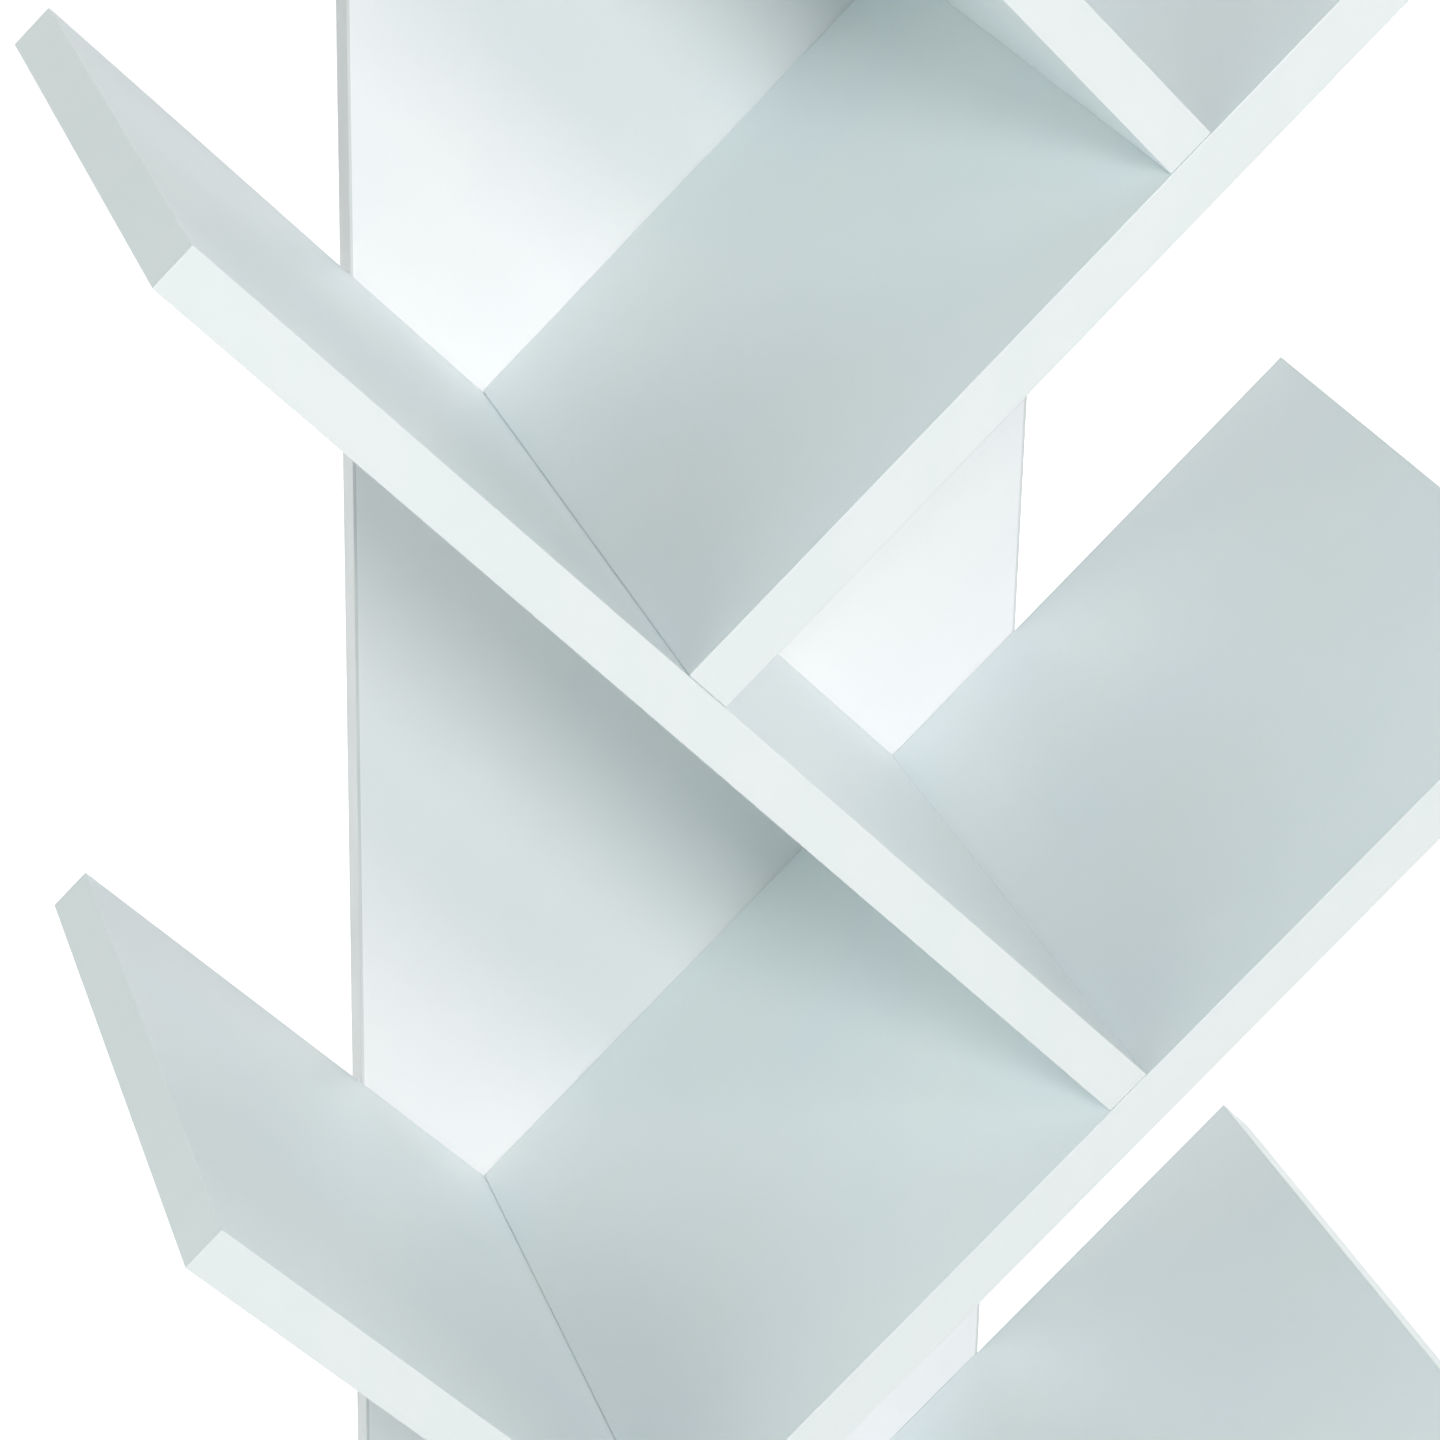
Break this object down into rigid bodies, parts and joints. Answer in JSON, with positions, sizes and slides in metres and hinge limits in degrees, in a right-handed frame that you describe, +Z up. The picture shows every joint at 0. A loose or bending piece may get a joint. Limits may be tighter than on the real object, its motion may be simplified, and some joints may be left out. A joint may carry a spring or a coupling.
{
  "type": "herringbone tree bookshelf",
  "caption": "Tall white bookshelf of straight boards that lean left and right by turns in front of a flat trunk panel on a base plate.",
  "frame": {"origin": "middle of the underside of the floor glides, in the middle of the width and depth", "axes": "+Z up, the shelf faces -Y, +X to the right as seen from the front"},
  "size_m": [0.424, 0.247, 1.2821],
  "materials": {
    "laminate": "white melamine laminate, satin, fine grained",
    "edge_band": "white edge band, satin",
    "screw_steel": "zinc plated",
    "fitting_steel": "zinc plated sheet",
    "dowel_wood": "fluted beech",
    "screw_cover": "white moulded, satin",
    "glide_plastic": "grey moulded, matt"
  },
  "bodies": {
    "root": {"base_plate": "laminate", "trunk_lower": "laminate", "trunk_upper": "laminate", "shelf_1": "laminate", "shelf_2": "laminate", "shelf_3": "laminate", "shelf_4": "laminate", "shelf_5": "laminate", "shelf_6": "laminate", "shelf_7": "laminate", "shelf_8": "laminate", "shelf_front_bands": "edge_band", "shelf_tip_bands": "edge_band", "trunk_bands": "edge_band", "base_bands": "edge_band", "foot_screws": "screw_steel", "trunk_screws": "screw_steel", "base_screws": "screw_steel", "foot_dowels": "dowel_wood", "trunk_dowels": "dowel_wood", "seam_dowels": "dowel_wood", "base_dowels": "dowel_wood", "foot_pins": "dowel_wood", "foot_screw_covers": "screw_cover", "trunk_screw_covers": "screw_cover", "joining_plates": "fitting_steel", "plate_screws": "screw_steel", "wall_brackets": "fitting_steel", "bracket_screws": "screw_steel", "floor_glides": "glide_plastic"}
  },
  "joints": []
}
